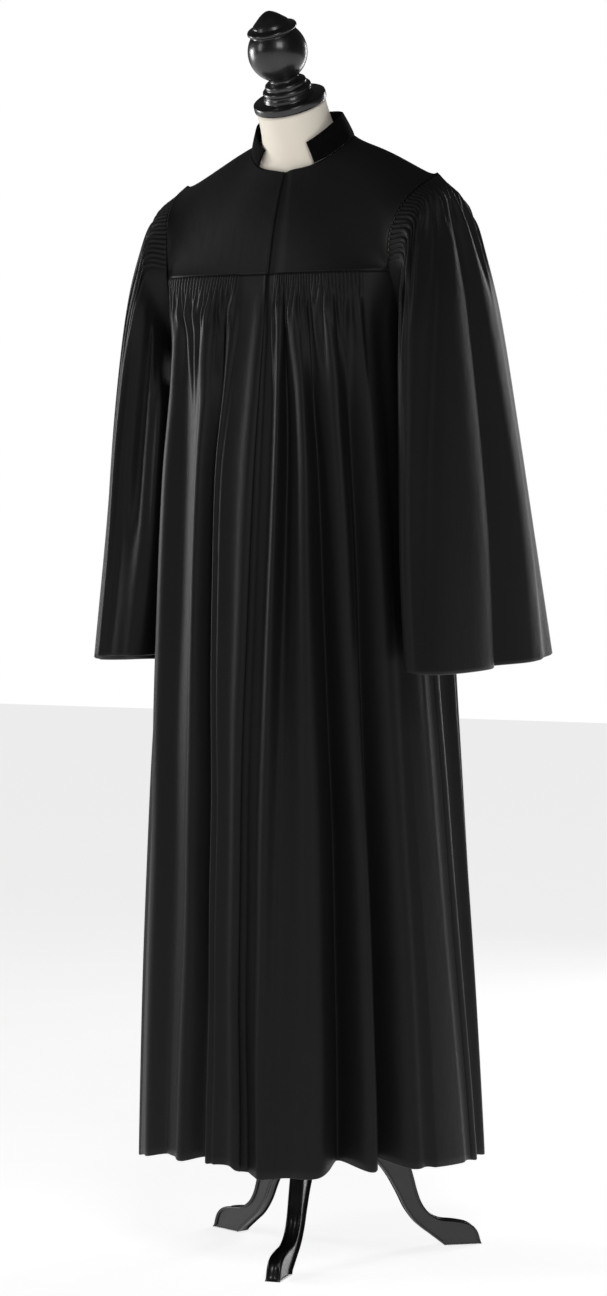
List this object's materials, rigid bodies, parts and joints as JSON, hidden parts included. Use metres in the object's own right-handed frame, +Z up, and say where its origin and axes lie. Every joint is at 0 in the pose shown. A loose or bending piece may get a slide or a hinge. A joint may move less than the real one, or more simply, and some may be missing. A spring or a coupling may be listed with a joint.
{
  "type": "clergy robe on a dress form",
  "caption": "Full-length black clergy robe with yoke, cartridge pleats, wide open sleeves and velvet stand collar, on a limbless dress form with turned finial and tripod stand.",
  "frame": {"origin": "on the floor, below the middle of the whole object's bounding box", "axes": "+Z up, -Y is the robe's front, +X is the wearer's left"},
  "size_m": [0.5856, 0.4826, 1.7606],
  "materials": {
    "wool": "black worsted gabardine with a soft sheen",
    "velvet": "black velvet, short pile",
    "jersey": "cream cotton jersey, matt",
    "lacquer": "black lacquered hardwood, satin"
  },
  "bodies": {
    "root": {"front_right": "wool", "front_left": "wool", "back": "wool", "yoke_front_right": "wool", "yoke_front_left": "wool", "yoke_back": "wool", "sleeve_left": "wool", "sleeve_right": "wool", "collar": "velvet", "form": "jersey", "finial": "lacquer", "pole": "lacquer", "hub": "lacquer", "leg_1": "lacquer", "leg_2": "lacquer", "leg_3": "lacquer"}
  },
  "joints": []
}
